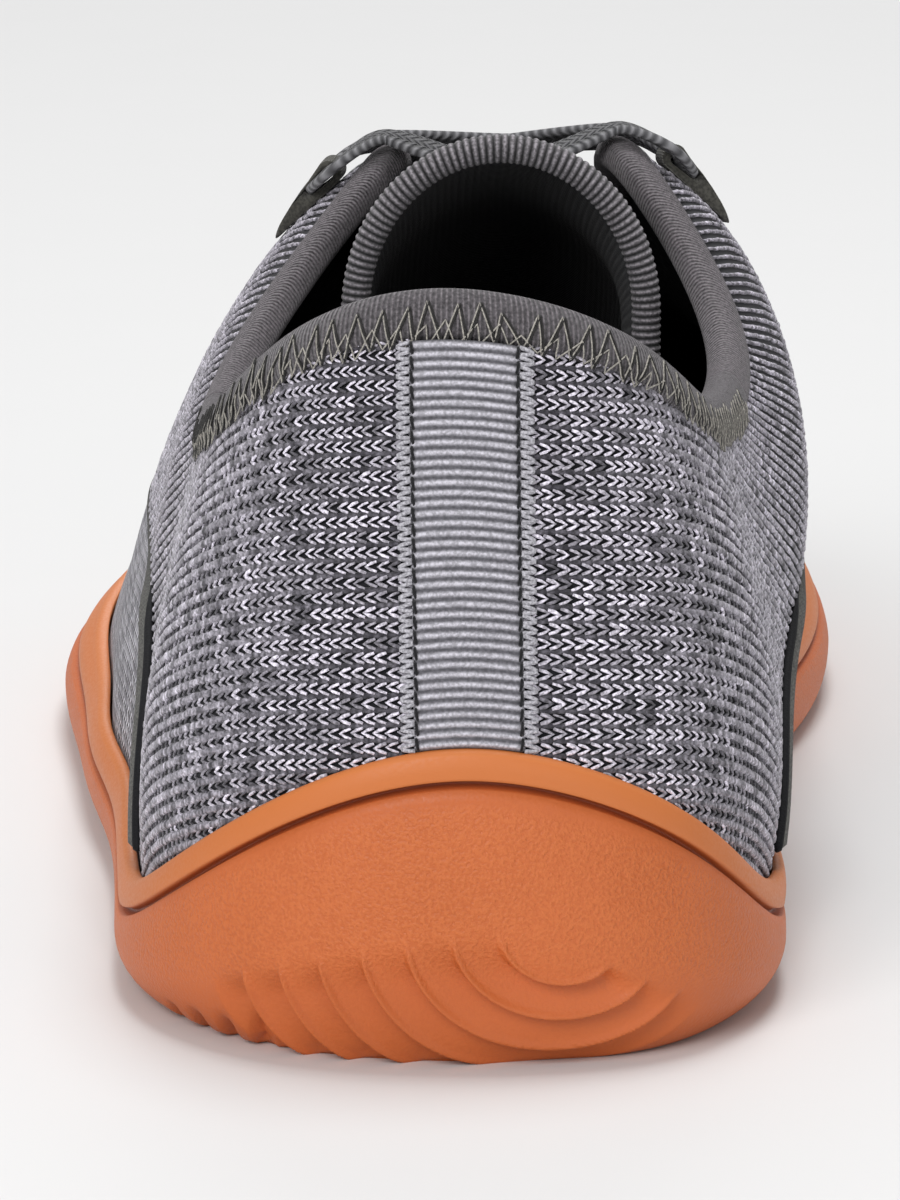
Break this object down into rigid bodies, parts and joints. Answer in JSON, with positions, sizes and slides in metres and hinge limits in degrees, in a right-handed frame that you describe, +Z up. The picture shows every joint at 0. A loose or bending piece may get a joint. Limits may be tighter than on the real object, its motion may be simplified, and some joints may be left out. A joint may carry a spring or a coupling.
{
  "type": "knit sneaker",
  "caption": "Low knit sneaker on a moulded gum-rubber cup sole with a high heel rise, stepped heel arcs, bound collar, ribbed heel tape and a throat laced through webbing loops.",
  "frame": {"origin": "on the floor, under the middle of the heel's flat tread", "axes": "+Y from heel to toe, +X to the inner side of the foot, +Z up"},
  "size_m": [0.098, 0.262, 0.0862],
  "materials": {
    "gum_rubber": "satin moulded gum rubber with a fine pebble grain",
    "knit": "matte melange grey knit with rows of small open holes",
    "lining": "matte near-black lining cloth",
    "elastic": "matte ribbed elastic tape",
    "ribbed_tape": "light grey tape with fine cross ribs",
    "webbing": "olive-grey woven webbing",
    "lace": "charcoal flat braid"
  },
  "bodies": {
    "root": {"outsole": "gum_rubber", "upper": "knit", "insole": "lining", "collar_binding": "elastic", "throat_binding": "elastic", "tongue": "lining", "tongue_binding": "elastic", "heel_tape": "ribbed_tape", "side_band_medial": "webbing", "side_band_lateral": "webbing", "lace_loop_medial_1": "webbing", "lace_loop_medial_2": "webbing", "lace_loop_medial_3": "webbing", "lace_loop_medial_4": "webbing", "lace_loop_lateral_1": "webbing", "lace_loop_lateral_2": "webbing", "lace_loop_lateral_3": "webbing", "lace_loop_lateral_4": "webbing", "lace": "lace"}
  },
  "joints": []
}
